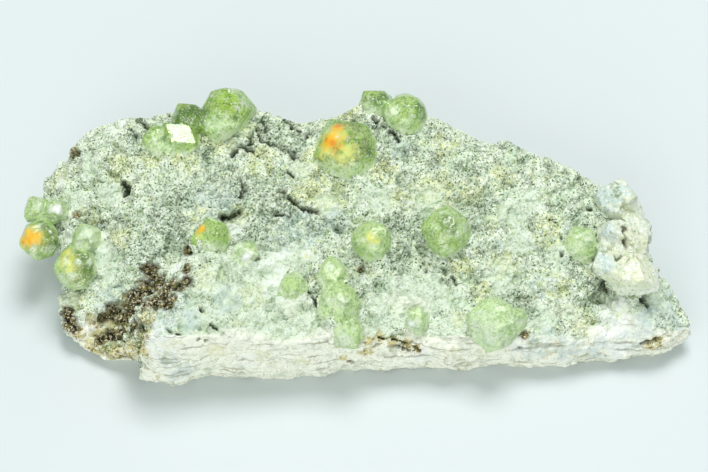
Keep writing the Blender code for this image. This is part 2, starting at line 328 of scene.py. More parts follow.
# Rock: a loose slab of fibrous serpentine, rough and granular on top. Sizes and heights are in mm
rockSet = {
    "voxel": 0.212,
    "smoothing": 3,
    "lumps": (2.3, 0.42),      # size and height
    "clods": (1.3, 0.34),
    "grains": (0.52, 0.17),
    "crumbs": (0.30, 0.10),
    "level": 0.7,              # part of a clod or grain that lies below the old surface
    "chips": (0.8, 0.5),       # size and share of flattening
    "pits": (1.3, 0.42),
    "pitEdge": (0.28, 0.55),   # between these values the noise turns into a pit
    "cavity": (0.22, 0.35, 0.8),            # depth of the brown cavity, its uneven depth and that one's size
    "crackDepth": 0.65,
    "layers": (0.42, 0.10),    # spacing and relief of the cleaved front edge
    "layerStretch": (9, 9, 1),
    "thinLayers": (0.5, 0.6, (7, 7, 1)),    # spacing and relief beside the layers', and stretch
    "grooveShadeDepths": (0.2, 0.6),     # depth in the grooves between layers at which painted shade begins, and is full
    "sideFacing": (0.35, 0.75),             # how far to the front the cleaved edge faces
    "sideEnd": (-8.0, -6.0),   # and where it ends towards the back
    "sideCalm": 0.6,           # how much smoother the cleaved edge is
    "sidePits": 0.7,           # how much shallower its pits are
    "paleCalm": 0.55,          # how much smoother the pale zones are
    "brownRough": 0.6,         # how much rougher the brown cavity is
    "brownEdge": 0.32,         # raggedness of the brown cavity, and of all other spots
    "spotEdge": 0.5,
    "backFacing": (0.2, 0.6),  # how far to the back the broken back faces
    "backCalm": 0.5,
    "underFacing": -0.6,       # the underside faces down, below this height, and stays flat
    "underHeight": 0.3,
    "margin": 0.02,            # kept free inside the solid's box
    "hollowShade": (0.5, 0.5, 0.8),              # share of grain gaps, clod gaps and pits in the painted shade of the hollows
    "noHollowShade": {"side": 0.8, "whiteAndHighlight": 0.6},  # share of the painted hollow shade that each takes away
    "noSpecks": {"pale": 0.6, "side": 0.9, "whiteAndHighlight": 0.75, "bluish": 0.3},    # and share of the specks
    "gaps": ((0.75, 0.07), (0.36, 0.10)),   # size of grains and width of the gaps between them, which are painted in shade
    "gapPatches": (1.1, 0.43, 0.70, 0.85),  # size, threshold, full value and share of the patches where the gaps are painted in shade
    "lines": (0.27, 0.58, 0.63, 0.5),       # the same for the thin lines of the cleaved edge
    "lineStretch": (0.07, 0.07, 1.0),
    "fineGrain": 0.22,
    "gapHeight": -0.5,         # height of the gaps painted in shade, beside the fine grain's
    "bump": 0.10,              # height of the fine grain
    # half width in mm, then the crack's points in pixels of the photograph
    "cracks": [
        (0.35, (124, 181), (128, 189), (125, 197)), (0.25, (56, 222), (61, 229)),
        (0.3, (86, 221), (95, 228), (103, 231)), (0.35, (138, 119), (146, 126), (149, 132)),
        (0.25, (130, 129), (138, 138), (141, 148)), (0.3, (147, 143), (152, 153), (161, 159), (174, 158)),
        (0.35, (240, 176), (245, 185), (246, 192), (241, 198)), (0.25, (272, 142), (278, 144), (284, 149)),
        (0.2, (253, 150), (259, 155)), (0.2, (285, 170), (293, 177)),
        (0.35, (222, 215), (232, 217), (242, 211)), (0.45, (284, 143), (291, 150), (294, 158)),
        (0.45, (286, 122), (296, 129), (304, 136)), (0.4, (281, 189), (290, 197), (302, 206), (318, 212)),
        (0.2, (274, 213), (284, 214)), (0.4, (374, 119), (384, 127), (398, 138)),
        (0.3, (352, 118), (358, 123)), (0.4, (263, 251), (257, 258), (250, 266)),
        (0.45, (233, 153), (238, 143), (248, 149)), (0.45, (241, 125), (250, 134), (247, 143)),
        (0.32, (598, 276), (602, 285), (607, 293)), (0.4, (635, 296), (642, 300), (646, 307)),
        (0.3, (590, 209), (598, 217)), (0.15, (560, 246), (562, 256)), (0.15, (561, 237), (565, 244)),
        (0.14, (200, 302), (202, 311)), (0.16, (210, 322), (216, 328)), (0.16, (168, 330), (180, 335)),
        (0.14, (198, 341), (206, 342)), (0.16, (486, 352), (503, 351), (522, 349)),
        (0.16, (578, 358), (592, 355), (606, 357)), (0.16, (640, 344), (655, 340), (672, 336)),
        (0.22, (309, 290), (314, 300), (320, 318), (327, 342)), (0.2, (100, 340), (115, 338), (130, 340)),
        (0.25, (262, 118), (268, 128)), (0.25, (256, 128), (262, 140), (272, 143)),
        (0.13, (354, 349), (364, 342), (380, 338), (396, 340), (408, 345), (420, 352)),
        (0.1, (362, 350), (380, 346), (398, 347), (410, 352)), (0.25, (312, 260), (317, 268), (316, 276)),
        (0.2, (424, 262), (427, 272)), (0.2, (452, 276), (456, 284)),
    ],
    # places in the photograph as pixel x, pixel y and radius in mm
    "brown": [
        (150, 271, 0.9), (165, 283, 1.1), (152, 287, 1.1), (143, 292, 1.0), (135, 297, 0.8), (150, 300, 0.9),
        (140, 308, 0.9), (128, 311, 0.8), (133, 319, 0.9), (113, 312, 0.8), (104, 317, 0.6), (131, 330, 1.0),
        (139, 323, 0.7), (120, 333, 0.6), (166, 302, 0.7), (173, 298, 0.5), (178, 285, 0.7), (158, 278, 0.9),
        (160, 292, 0.8), (122, 319, 0.7), (129, 325, 0.8), (188, 280, 0.55), (110, 336, 0.6),
        (102, 340, 0.5), (189, 249, 0.55), (184, 266, 0.6), (192, 242, 0.4), (68, 322, 1.0), (65, 314, 0.8),
        (74, 330, 0.5), (73, 155, 0.6), (525, 335, 0.5), (624, 226, 0.4), (125, 358, 0.45), (350, 362, 0.3),
        (76, 214, 0.35), (362, 267, 0.25),
    ],
    "gold": [
        (110, 322, 1.3), (122, 322, 1.1), (145, 316, 0.9), (158, 296, 0.8), (128, 303, 0.8), (140, 338, 1.0),
        (100, 323, 1.3), (116, 326, 1.1), (130, 345, 1.3), (139, 351, 1.1), (95, 345, 1.2), (118, 355, 1.3),
        (71, 152, 0.8), (134, 362, 1.2), (500, 350, 0.5), (655, 344, 0.8), (90, 352, 1.2), (104, 362, 1.2),
        (120, 365, 1.2), (95, 222, 0.4), (366, 352, 0.6), (343, 358, 0.5), (145, 335, 0.7), (80, 335, 0.7),
        (358, 345, 0.5), (368, 341, 0.5), (380, 338, 0.6), (394, 340, 0.6), (406, 345, 0.5), (416, 351, 0.5),
    ],
    "cream": [
        (186, 158, 1.6), (310, 170, 1.4), (330, 192, 1.8), (312, 186, 1.4), (436, 190, 1.8), (470, 190, 1.3),
        (345, 112, 1.6), (222, 145, 1.2), (506, 265, 1.6), (556, 285, 1.2), (480, 290, 1.0), (605, 190, 1.0),
        (105, 346, 1.8), (135, 350, 1.6), (120, 235, 1.2), (400, 200, 1.3), (460, 265, 1.0), (550, 230, 1.6),
        (520, 340, 1.2), (665, 345, 1.4), (370, 352, 1.5), (440, 355, 1.2), (210, 140, 1.0), (585, 325, 1.2),
        (360, 140, 1.4), (240, 215, 1.0), (76, 300, 1.2), (210, 275, 1.6), (250, 295, 1.6), (215, 350, 1.6),
        (118, 168, 1.4), (60, 176, 1.0), (386, 172, 1.2), (250, 365, 1.4), (100, 330, 1.0), (264, 158, 1.2),
        (250, 128, 0.9), (308, 158, 1.0), (302, 192, 1.4), (258, 166, 1.0), (444, 146, 1.2), (500, 175, 1.2),
        (150, 160, 1.2), (200, 215, 1.0),
    ],
    "whiteAndHighlight": [
        (90, 330, 0.9), (141, 283, 0.6), (176, 266, 0.8), (182, 273, 0.7), (616, 312, 1.6), (612, 328, 1.3),
        (600, 332, 1.0), (62, 184, 0.7), (116, 126, 0.9), (158, 340, 1.8), (165, 352, 1.8), (250, 362, 1.2),
        (420, 358, 1.2), (520, 345, 1.2), (620, 350, 1.2), (310, 256, 0.8), (280, 252, 0.9), (238, 228, 0.8),
        (244, 222, 0.7), (240, 255, 0.6), (67, 234, 0.8), (268, 264, 1.0), (275, 280, 1.1), (272, 292, 0.9),
        (236, 232, 0.8),
    ],
    "bluish": [
        (115, 295, 1.1), (104, 303, 0.9), (124, 301, 0.7), (170, 315, 1.6), (182, 305, 1.3), (165, 325, 1.2),
        (190, 320, 1.2), (655, 315, 1.6), (645, 325, 1.4), (664, 300, 1.3), (672, 320, 1.2), (566, 228, 0.6),
        (505, 245, 0.8), (210, 205, 1.8), (300, 228, 2.2), (285, 236, 1.6), (230, 200, 1.4), (545, 285, 1.2),
        (90, 235, 1.0), (55, 170, 0.8), (400, 150, 1.0), (335, 222, 1.2), (180, 372, 1.2), (225, 300, 1.4),
        (540, 345, 1.6), (568, 350, 1.6), (598, 350, 1.5), (625, 345, 1.4), (505, 248, 0.7),
    ],
    "pale": [
        (225, 285, 3.2), (260, 320, 3.0), (300, 330, 2.4), (205, 322, 2.2), (390, 300, 2.4), (425, 295, 2.2),
        (380, 325, 1.8), (450, 325, 1.6), (250, 275, 2.4), (100, 255, 1.4), (285, 300, 1.8), (660, 300, 1.6),
        (640, 318, 1.6), (380, 200, 1.6), (430, 200, 1.6), (330, 205, 1.2), (285, 258, 1.8), (515, 215, 1.4),
        (505, 275, 1.8), (530, 200, 1.2), (90, 165, 1.2), (75, 200, 1.2), (300, 170, 1.2), (96, 262, 1.2),
        (108, 272, 1.2), (66, 222, 0.8), (110, 195, 1.2), (70, 300, 0.8), (520, 240, 1.2), (560, 255, 1.2),
        (540, 320, 1.4), (455, 300, 1.2),
    ],
    "tan": [
        (490, 224, 0.8), (505, 255, 0.7), (460, 318, 0.8), (523, 299, 0.5), (506, 242, 0.4), (366, 268, 0.6),
        (440, 135, 0.6), (216, 143, 0.6), (345, 268, 0.6), (372, 168, 0.8), (86, 213, 0.9), (96, 218, 0.7),
        (588, 272, 0.5), (172, 345, 0.9), (215, 352, 0.9), (262, 358, 0.8), (300, 362, 0.7), (455, 352, 0.6),
        (482, 353, 0.6), (548, 352, 0.5), (588, 356, 0.5), (455, 265, 0.6), (240, 320, 0.7), (305, 255, 0.6),
        (486, 285, 0.5), (384, 160, 0.6),
    ],
    "shade": [
        (233, 275, 1.3), (228, 300, 1.1), (236, 322, 1.1), (267, 300, 1.0), (285, 322, 1.1), (208, 330, 0.9),
        (213, 262, 0.7), (250, 262, 0.8), (311, 300, 0.9), (322, 325, 0.9), (384, 290, 1.0), (374, 320, 1.0),
        (366, 300, 0.8), (395, 345, 0.6), (170, 362, 0.8), (205, 372, 0.9), (240, 374, 0.9), (532, 345, 0.8),
        (655, 290, 1.2), (668, 310, 1.0), (648, 280, 0.8), (560, 350, 0.7), (300, 262, 0.7), (345, 300, 0.5),
    ],
    "grey": [
        (238, 188, 1.6), (222, 172, 1.4), (300, 141, 0.8), (272, 136, 1.0), (290, 148, 1.0), (266, 190, 1.5),
        (285, 205, 1.5), (262, 214, 1.6), (250, 235, 1.4), (405, 228, 1.6), (400, 260, 1.3), (380, 140, 1.4),
        (145, 250, 1.8), (165, 210, 1.8), (180, 195, 1.6), (100, 225, 1.0), (205, 150, 1.2), (485, 205, 1.0),
        (590, 300, 0.8), (655, 275, 1.3), (175, 232, 1.8), (395, 125, 1.2), (135, 145, 1.2), (368, 128, 1.2),
        (130, 225, 1.0), (478, 228, 0.9), (520, 300, 1.0), (530, 312, 0.8), (90, 288, 1.2), (260, 125, 1.2),
        (570, 262, 1.0), (390, 226, 0.9), (416, 226, 0.9), (380, 284, 0.9), (575, 215, 0.7), (124, 215, 0.8),
        (127, 190, 0.7), (362, 262, 0.7), (340, 222, 0.8), (320, 225, 0.9),
    ],
}


# Plugs fill the hollows that hold the crystals, flush with the rock round them
plugSet = {
    "search": 0.5,             # mm from the rock to the crystal
    "gap": (0.2, 0.42),        # narrowest and widest gap in mm
    "facing": 0.6,             # how far a wall of the hollow faces the crystal
    "growth": (1.04, 1.04, 1.02),    # of a plug beside its hollow
}


def plugSocket(shape, tree):
    wallVerts = set()
    narrow, wide = plugSet["gap"]
    for face in shape.faces:
        middle = face.calc_center_median()
        near, _, _, distance = tree.find_nearest(middle, plugSet["search"] * mm)
        if near is None or not narrow * mm < distance < wide * mm:
            continue
        if (near - middle).dot(face.normal) > plugSet["facing"] * distance:
            wallVerts.update(tuple(vert.co) for vert in face.verts)
    plug = bmesh.new()
    for place in sorted(wallVerts):
        plug.verts.new(place)
    hull = bmesh.ops.convex_hull(plug, input=plug.verts)
    inside = hull["geom_interior"] + hull["geom_unused"]
    loose = {item for item in inside if isinstance(item, bmesh.types.BMVert)}
    bmesh.ops.delete(plug, geom=list(loose), context="VERTS")
    middle = sum((vert.co for vert in plug.verts), Vector()) / len(plug.verts)
    bmesh.ops.scale(plug, vec=plugSet["growth"], space=Matrix.Translation(-middle), verts=plug.verts)
    bmesh.ops.recalc_face_normals(plug, faces=plug.faces)
    return plug


rockColours = ("brown", "gold", "cream", "whiteAndHighlight", "bluish", "pale", "shade", "tan", "grey")


def makeRock(trees):
    shape = mergedCopy("matrix")
    for plug in [plugSocket(shape, tree) for tree in trees[1:]]:
        plugMesh = bpy.data.meshes.new("plug")
        plug.to_mesh(plugMesh)
        shape.from_mesh(plugMesh)
        plug.free()
    rock = addPiece("rockSlab", shape)
    refine(rock, rockSet["voxel"], rockSet["smoothing"])
    mesh = rock.data
    places, normals = readVerts(mesh)
    low, high = (np.array(corner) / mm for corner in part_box("matrix"))

    masks = {}
    for key in rockColours:
        ragged = rockSet["brownEdge"] if key == "brown" else rockSet["spotEdge"]
        masks[key] = spotMask(places, trees, rockSet[key], ragged)
    masks["crackShade"] = crackMask(places, trees, rockSet["cracks"])
    side = smoothStep(*rockSet["sideFacing"], -normals[:, 1])
    side = masks["side"] = side * (1 - smoothStep(*rockSet["sideEnd"], places[:, 1]))
    back = smoothStep(*rockSet["backFacing"], normals[:, 1])

    lumpSize, lumpHeight = rockSet["lumps"]
    clodSize, clodHeight = rockSet["clods"]
    grainSize, grainHeight = rockSet["grains"]
    crumbSize, crumbHeight = rockSet["crumbs"]
    chipSize, chipShare = rockSet["chips"]
    pitSize, pitDepth = rockSet["pits"]
    layerSize, layerHeight = rockSet["layers"]
    thinSpacing, thinRelief, thinStretch = rockSet["thinLayers"]
    cavityDepth, cavityUneven, cavitySize = rockSet["cavity"]

    calm = 1 - rockSet["sideCalm"] * side
    rough = (1 - rockSet["paleCalm"] * masks["pale"]) * calm + rockSet["brownRough"] * masks["brown"]
    clods = grainsAt(places, clodSize)
    grains = grainsAt(places, grainSize, 7.0)
    lift = noiseAt(places, lumpSize) * lumpHeight * calm
    lift += (clods - rockSet["level"]) * clodHeight * rough
    lift += (grains - rockSet["level"]) * grainHeight * rough
    lift += noiseAt(places, crumbSize, 3.0) * crumbHeight
    lift += chipsAt(places, normals, chipSize) * chipShare * rough
    pits = smoothStep(*rockSet["pitEdge"], noiseAt(places, pitSize, 21.0)) * (1 - rockSet["sidePits"] * side)
    lift -= pits * pitDepth
    lift -= masks["brown"] * (cavityDepth + cavityUneven * np.abs(noiseAt(places, cavitySize, 33.0)))
    lift -= masks["crackShade"] * rockSet["crackDepth"]
    layers = noiseAt(places, layerSize, 60.0, rockSet["layerStretch"])
    layers = layers + thinRelief * noiseAt(places, layerSize * thinSpacing, 70.0, thinStretch)
    lift += layers * layerHeight * side
    lift *= 1 - rockSet["backCalm"] * back

    under = (normals[:, 2] < rockSet["underFacing"]) & (places[:, 2] < rockSet["underHeight"])
    lift[under] = 0
    moved = places + normals * lift[:, None]
    margin = rockSet["margin"]
    moved = np.clip(moved, low + np.array((margin, margin, 0)), high - margin)
    moved[under, 2] = np.clip(places[under, 2], low[2], low[2] + margin)
    writeVerts(mesh, moved)

    # Painted shade in the hollows: deepest in the gaps between grains and clods and in the pits
    grainGap, clodGap, pitGap = rockSet["hollowShade"]
    masks["hollowShade"] = 1 - grainGap * grains - clodGap * clods + pitGap * pits
    for key, share in rockSet["noHollowShade"].items():
        masks["hollowShade"] = masks["hollowShade"] * (1 - share * masks[key])
    masks["rough"] = 1 - sum(share * masks[key] for key, share in rockSet["noSpecks"].items())
    # Painted shade in the deeper grooves between the layers of the cleaved edge
    masks["grooveShade"] = smoothStep(*rockSet["grooveShadeDepths"], -layers) * side
    for key, mask in masks.items():
        storeMask(mesh, key, mask)
    return rock


# Serpentine rock: a matt, pale grey-green aggregate speckled dark green and cream
def rockMaterial():
    material, tree = newMaterial("asbestosSerpentineRock")
    colour = layeredColour(tree, "#f0fce8", [
        # colour, mask, share, size, threshold, softness
        ("#b9dcae", "", 0.3, 2.6, 0.48, 0.16),         # grey-green patches
        ("#f2faec", "", 0.8, 0.75, 0.52, 0.10),        # light clods
        ("#eef4c2", "", 0.75, 0.5, 0.55, 0.08),        # cream grains
        ("#eff3b8", "cream", 0.8, 0.6, 0.40, 0.14),
        ("#dcebd6", "pale", 0.55, 0, 0, 0),
        ("#fdfeee", "side", 0.9, 0, 0, 0),             # the cleaved edge, painted shade in its grooves, and its fawn flecks
        ("#a5ab8c", "grooveShade", 0.5, 0.5, 0.42, 0.2),
        ("#cdd5c0", "side", 0.6, 1.0, 0.54, 0.10),
        ("#8d9377", "side", 0.5, 0.28, 0.62, 0.05),
        ("#cfc49c", "side", 0.7, 0.7, 0.63, 0.06),
        ("#c8d9d8", "bluish", 0.65, 0.9, 0.36, 0.2),
        ("#f5f9f4", "whiteAndHighlight", 0.8, 0.6, 0.36, 0.2),
        ("#a0b296", "shade", 0.6, 0.7, 0.42, 0.2),
        ("#dfdfa2", "tan", 0.5, 0.35, 0.44, 0.12),
        ("#d2c67e", "gold", 0.85, 0.5, 0.36, 0.16),    # golden grains among dark and pale ones
        ("#6b5526", "gold", 0.85, 0.33, 0.53, 0.06),
        ("#f0edcd", "gold", 0.8, 0.28, 0.60, 0.05),
        ("#fbfff0", "rough", 0.9, 0.18, 0.565, 0.03),  # bright specks
        ("#72a056", "hollowShade", 0.18, 0, 0, 0),          # painted shade: a green coat in the hollows
        ("#6c8656", "rough", 0.5, 0.30, 0.57, 0.06),   # dark specks
        ("#2a4a12", "rough", 1.0, 0.18, 0.59, 0.03),
        # painted shade: dark specks in the hollows
        ("#43642a", "hollowShade", 0.55, 0.34, 0.55, 0.07),
        ("#b2c8b2", "grey", 0.2, 0, 0, 0),
        ("#2c4a18", "grey", 0.8, 0.22, 0.54, 0.05),
        ("#2c2710", "brown", 1.0, 0, 0, 0),            # nearly black cavity with brown and pale grains
        ("#77703e", "brown", 1.0, 0.42, 0.51, 0.06),
        ("#b8a866", "brown", 0.85, 0.3, 0.57, 0.05),
        ("#f3ecd0", "brown", 0.95, 0.22, 0.56, 0.03),
        # painted shade in the cracks, which are also sunk into the rock
        ("#323a18", "crackShade", 0.95, 0.3, 0.30, 0.14),
    ])
    place = objectPlace(tree)
    # Painted shade: dark green in the gaps between grains, in patches
    wide, narrow = [grainGaps(tree, place, size, width) for size, width in rockSet["gaps"]]
    gaps = addNode(tree, "ShaderNodeMath", links={0: wide, 1: narrow}, operation="MAXIMUM").outputs[0]
    patch = product(tree, noiseAbove(tree, place, *rockSet["gapPatches"]), readMask(tree, "rough"))
    gapShade = product(tree, patch, gaps)
    colour = mixOver(tree, colour, "#2f4f18", gapShade)
    flat = addNode(tree, "ShaderNodeVectorMath", {1: rockSet["lineStretch"]}, {0: place},
                   operation="MULTIPLY").outputs[0]
    line = product(tree, noiseAbove(tree, flat, *rockSet["lines"]), readMask(tree, "side"))
    colour = mixOver(tree, colour, "#7c7a5c", line)
    fine = addNode(tree, "ShaderNodeTexNoise",
                   {"Scale": 1 / (rockSet["fineGrain"] * mm), "Detail": 3.0, "Roughness": 0.7},
                   {"Vector": place}).outputs["Fac"]
    height = addNode(tree, "ShaderNodeMath", {1: rockSet["gapHeight"]}, {0: gapShade, 2: fine},
                     operation="MULTIPLY_ADD").outputs[0]
    bump = addNode(tree, "ShaderNodeBump", {"Strength": 1.0, "Distance": rockSet["bump"] * mm},
                   {"Height": height}).outputs["Normal"]
    shader = addNode(tree, "ShaderNodeBsdfPrincipled",
                     {"Roughness": 0.82, "IOR": 1.55, "Specular IOR Level": 0.35},
                     {"Base Color": colour, "Normal": bump})
    addNode(tree, "ShaderNodeOutputMaterial", links={"Surface": shader.outputs[0]})
    return material


# Garnet crystals: glassy where they are clear, etched and chipped where they are milky, and stained orange in
# places. Sizes and heights are in mm
garnetSet = {
    "voxel": 0.09,
    "smoothing": 1,
    "flatAngle": 1,            # degrees between triangles of one crystal face
    "ripple": (0.8, 0.02),     # size and height
    "fineRipple": (3, 0.4),    # how much finer the second ripple is, and its share of the height
    "sink": 0.02,              # how far inside the solid's faces they lie
    "etch": (0.40, 0.09),      # of the milky and dusty faces
    "chips": (1.4, 0.8),       # size and share of flattening of the milky faces
    "chipped": (0.3, 0.7),     # milkiness at which chips begin, and are whole
    "bump": (0.26, 0.6, 0.05),              # size, strength and height of the finest relief
    "spotEdges": (0.4, 0.6, 0.1),           # raggedness, its size and the solid share of a coloured spot
    "dustyEdges": (0.5, 0.5, 0.1),          # the same for dusty spots
    "dust": (0.3, 1.0),        # rock dust fades between these distances from the rock
    "dustWander": (0.6, 0.25),              # size and reach of its uneven edge
    "ior": 1.88,               # demantoid's index of refraction
    "roughness": (0.5, 0.08),               # where milky, and where clear
    "transmission": (0.08, 0.4),
    "absorption": ("#bde070", 90.0),        # colour, and density per metre
    # places in the photograph as pixel x, pixel y and radius in mm
    "orange": [(331, 140, 1.3), (337, 128, 0.9), (29, 238, 1.25), (200, 229, 0.6)],
    "ember": [(338, 126, 0.5), (333, 143, 0.4), (326, 139, 0.3), (23, 243, 0.25)],
    "yellow": [
        (348, 151, 1.1), (342, 157, 0.8), (333, 136, 1.7), (326, 151, 1.2), (318, 142, 0.9), (68, 262, 1.0),
        (66, 252, 0.8), (69, 270, 0.6), (370, 237, 0.7), (376, 240, 0.5), (30, 237, 1.6), (22, 243, 1.0),
        (200, 236, 0.5),
    ],
    "lime": [
        (440, 236, 1.1), (455, 243, 0.9), (225, 103, 1.3), (214, 106, 0.9), (234, 108, 0.7), (447, 219, 0.5),
        (405, 120, 0.8), (398, 102, 0.7), (440, 246, 0.8), (366, 228, 0.7), (374, 250, 0.6), (500, 322, 0.5),
        (345, 295, 0.8), (578, 240, 0.8),
    ],
    "olive": [
        (332, 152, 1.6), (360, 150, 1.3), (345, 162, 1.0), (350, 122, 1.2), (358, 128, 0.9), (342, 117, 0.8),
        (366, 144, 0.9), (322, 128, 0.7), (45, 226, 1.1), (48, 240, 1.9), (72, 256, 1.2), (84, 268, 1.6),
        (78, 280, 1.0), (318, 160, 0.9), (352, 138, 0.9), (376, 150, 0.7), (376, 128, 0.6), (364, 100, 0.6),
    ],
    "deep": [
        (186, 114, 1.9), (196, 113, 1.6), (176, 119, 1.2), (192, 108, 1.2), (206, 96, 0.6), (369, 152, 0.6),
        (357, 160, 0.4), (399, 93, 0.9), (412, 93, 0.8), (385, 96, 0.8), (424, 118, 0.6), (422, 106, 0.8),
        (376, 101, 0.8), (445, 219, 0.9), (450, 225, 1.0), (454, 231, 0.6), (50, 232, 0.9), (45, 226, 0.8),
        (54, 244, 0.9), (84, 258, 0.8), (89, 268, 0.9), (92, 278, 0.6), (78, 252, 0.5), (240, 96, 0.4),
        (235, 118, 0.5), (165, 138, 0.5), (62, 222, 0.5), (40, 222, 0.5),
    ],
    "milk": [
        (225, 132, 1.9), (212, 124, 1.5), (236, 128, 1.2), (158, 146, 1.6), (168, 150, 1.2), (350, 168, 1.9),
        (335, 165, 1.4), (368, 172, 1.1), (392, 112, 1.1), (86, 234, 1.6), (78, 284, 1.2), (408, 122, 0.9),
        (375, 250, 1.2), (460, 232, 1.0), (436, 228, 0.7), (212, 246, 1.0), (236, 246, 1.0), (34, 255, 0.9),
        (345, 262, 1.0), (368, 104, 1.1), (448, 212, 1.0), (448, 250, 1.0),
    ],
    "haze": [
        (466, 228, 0.7), (344, 340, 1.2), (340, 300, 0.8), (86, 234, 1.5), (92, 228, 1.0), (238, 244, 1.1),
        (490, 335, 1.8), (478, 322, 1.2), (40, 204, 0.7), (345, 340, 1.0), (414, 326, 1.0), (216, 250, 0.6),
        (582, 240, 0.8),
    ],
    # painted highlights: faces that reflect the light, painted white
    "whiteAndHighlight": [(247, 256, 0.75), (57, 210, 0.8), (411, 324, 0.45)],
    # painted glints: highlights on small chips, and painted internal reflections
    "glints": [
        (244, 103, 0.7), (238, 107, 0.5), (232, 90, 0.45), (392, 114, 0.35), (344, 167, 0.3),
        (367, 156, 0.25), (348, 139, 0.3), (337, 136, 0.25), (458, 233, 0.4), (441, 213, 0.35),
        (412, 116, 0.3), (364, 239, 0.3), (345, 281, 0.4), (418, 322, 0.4), (515, 323, 0.3), (78, 245, 0.45),
        (212, 96, 0.3), (226, 100, 0.3), (226, 116, 0.3), (372, 109, 0.3), (160, 134, 0.3),
    ],
    "milkShare": {
        "garnet_front_right": 0.9, "garnet_front_cluster": 0.65, "garnet_front_small": 0.6,
        "garnet_bright_face": 0.5, "garnet_front_buried": 0.5, "garnet_right_patch": 0.8,
        "garnet_left_lower_pair": 0.5, "garnet_left_edge_group": 0.5, "garnet_centre": 0.5,
        "garnet_back_right_pair": 0.15, "garnet_right_of_centre": 0.35,
    },
    "dusty": [
        (66, 262, 0.5), (80, 290, 0.6), (90, 262, 0.5), (78, 262, 0.4), (34, 250, 0.5), (40, 226, 0.5),
        (52, 248, 0.7), (44, 250, 0.5), (56, 230, 0.5), (72, 276, 0.6), (490, 338, 1.2), (476, 328, 0.8),
        (506, 345, 1.0), (522, 322, 0.5), (345, 343, 0.9), (328, 300, 0.7), (352, 318, 0.6), (570, 252, 0.9),
        (592, 236, 0.8), (574, 226, 0.7), (280, 292, 0.7), (300, 276, 0.6), (60, 236, 0.6), (96, 240, 0.6),
        (62, 280, 0.7), (98, 284, 0.5), (150, 150, 0.6), (222, 250, 0.6), (330, 268, 0.5), (408, 328, 0.5),
        (425, 312, 0.4), (38, 208, 0.6),
    ],
}
garnetColours = ("orange", "ember", "yellow", "lime", "olive", "deep", "milk", "haze", "whiteAndHighlight", "glints")
cloudy = ("dust", "milk", "orange", "yellow", "whiteAndHighlight")


def makeGarnet(nodeName, trees):
    shape = mergedCopy(nodeName)
    angle = math.radians(garnetSet["flatAngle"])
    bmesh.ops.dissolve_limit(shape, angle_limit=angle, verts=shape.verts, edges=shape.edges)
    piece = addPiece(nodeName + "_crystal", shape)
    refine(piece, garnetSet["voxel"], garnetSet["smoothing"])
    mesh = piece.data
    places, normals = readVerts(mesh)
    low, high = (np.array(corner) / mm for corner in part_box(nodeName))

    masks = {key: spotMask(places, trees, garnetSet[key], *garnetSet["spotEdges"]) for key in garnetColours}
    masks["milk"] = np.maximum(masks["milk"], garnetSet["milkShare"].get(nodeName, 0.0))
    near, far = garnetSet["dust"]
    wanderSize, wander = garnetSet["dustWander"]
    reach = np.array([trees[0].find_nearest(Vector(place) * mm)[3] / mm for place in places.tolist()])
    masks["dust"] = 1 - smoothStep(near, far, reach + wander * noiseAt(places, wanderSize, 90.0))
    dusty = spotMask(places, trees, garnetSet["dusty"], *garnetSet["dustyEdges"])
    masks["dust"] = np.maximum(masks["dust"], dusty)
    masks["clear"] = 1 - np.max([masks[key] for key in cloudy], axis=0)

    size, height = garnetSet["ripple"]
    finer, share = garnetSet["fineRipple"]
    etchSize, etchHeight = garnetSet["etch"]
    chipSize, chipShare = garnetSet["chips"]
    lift = noiseAt(places, size, 5.0) * height + noiseAt(places, size / finer, 15.0) * height * share
    lift -= garnetSet["sink"]
    lift += noiseAt(places, etchSize, 25.0) * etchHeight * np.maximum(masks["milk"], masks["dust"])
    lift += chipsAt(places, normals, chipSize) * chipShare * smoothStep(*garnetSet["chipped"], masks["milk"])
    writeVerts(mesh, np.clip(places + normals * lift[:, None], low, high))
    for key, mask in masks.items():
        storeMask(mesh, key, mask)
    mesh.shade_smooth()
    return piece


